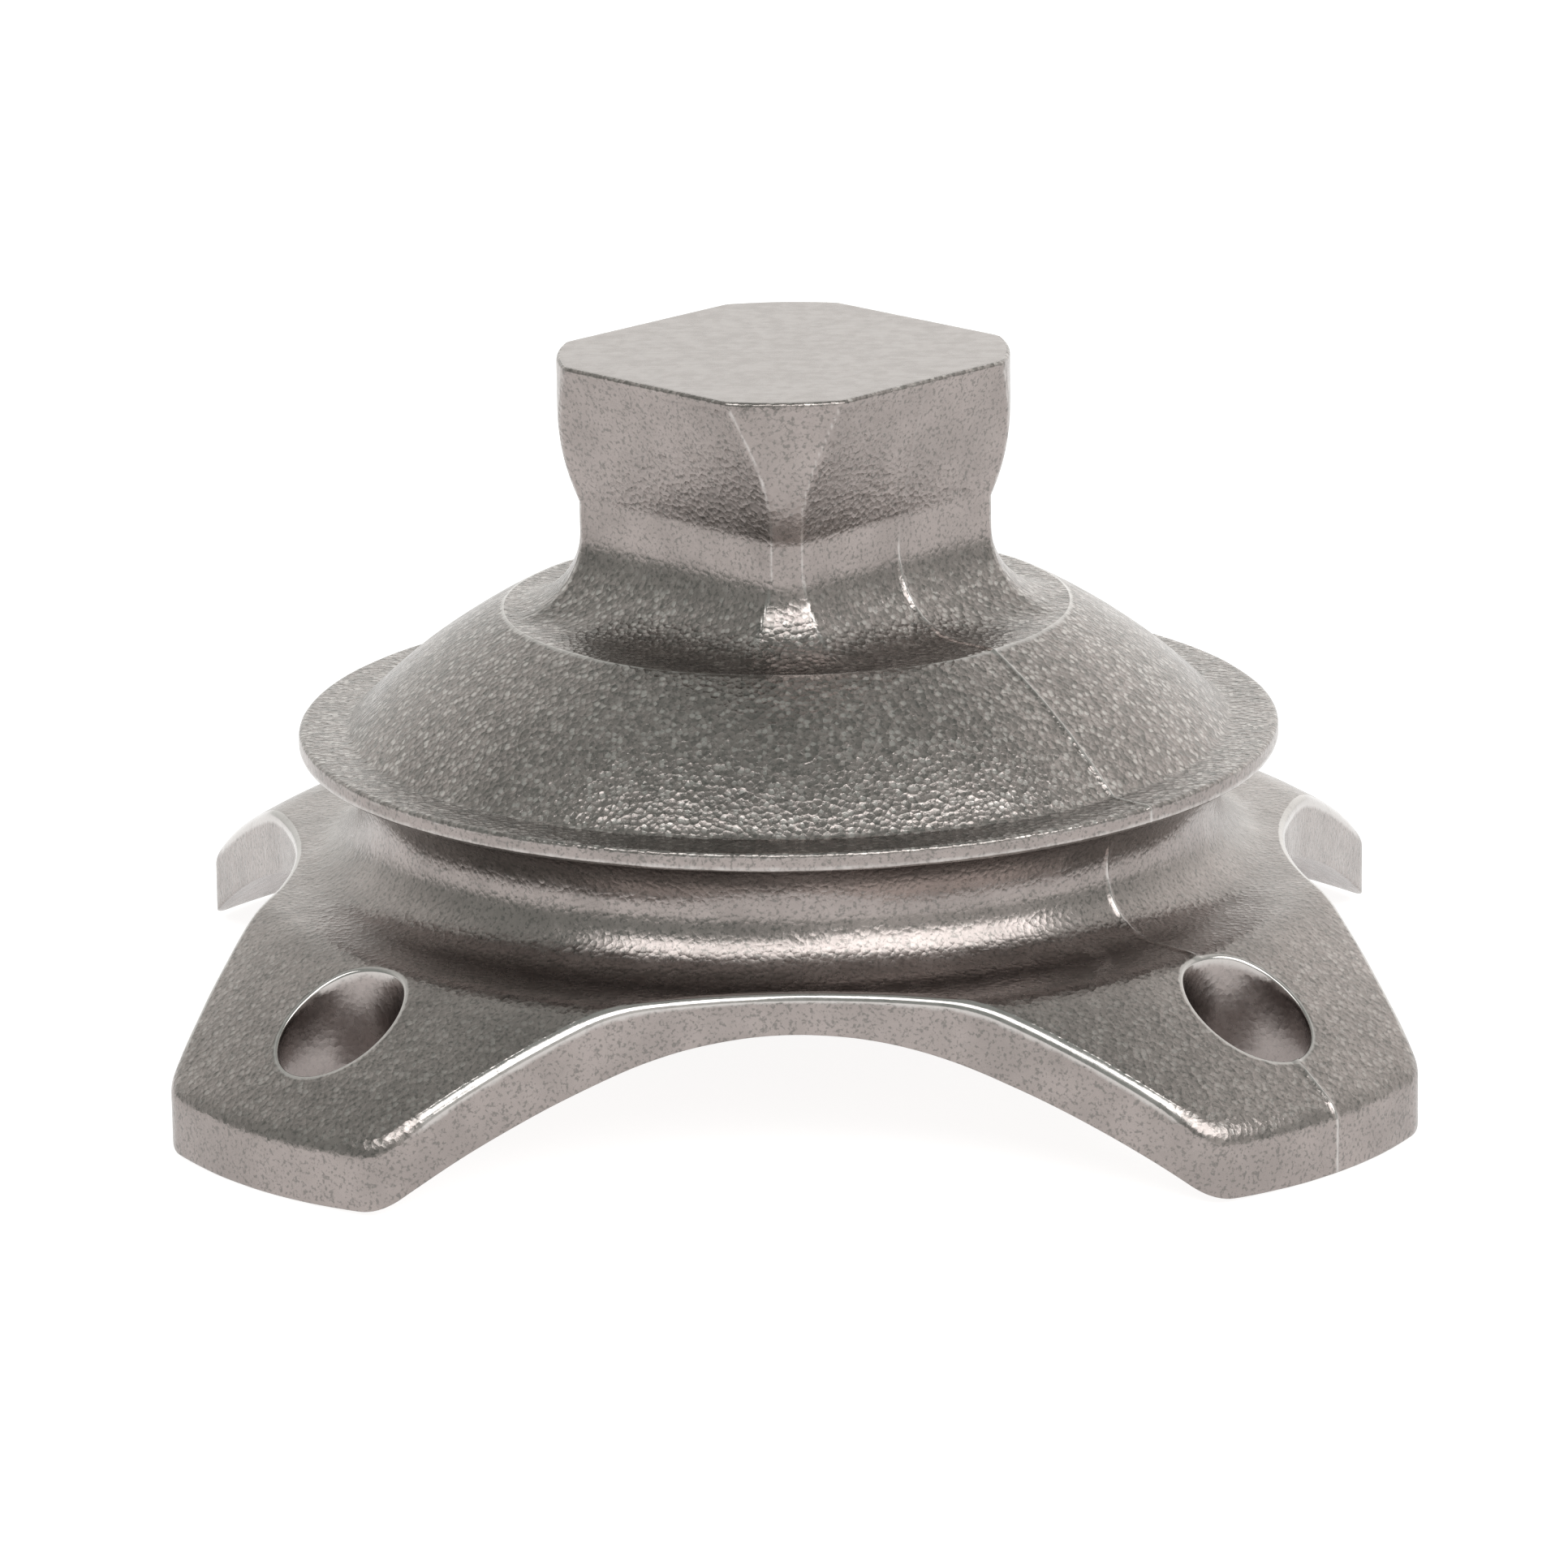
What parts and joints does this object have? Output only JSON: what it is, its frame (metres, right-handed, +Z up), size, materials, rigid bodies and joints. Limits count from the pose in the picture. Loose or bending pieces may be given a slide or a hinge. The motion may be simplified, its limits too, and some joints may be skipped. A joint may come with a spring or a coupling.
{
  "type": "pyramid adapter",
  "caption": "Male pyramid adapter for a prosthetic socket: square head with leaning faces, domed seat with a thin brim, and a curved plate with drilled feet.",
  "frame": {"origin": "on the adapter's axis, in the plane of the four foot tips", "axes": "+Z up along the axis out of the pyramid head; the front faces -Y, and the feet and their holes lie on the diagonals between X and Y"},
  "size_m": [0.0592, 0.0592, 0.0342],
  "materials": {
    "cast_stainless": "bead-blasted cast stainless steel with burnished edges"
  },
  "bodies": {
    "root": {"adapter_casting": "cast_stainless"}
  },
  "joints": []
}
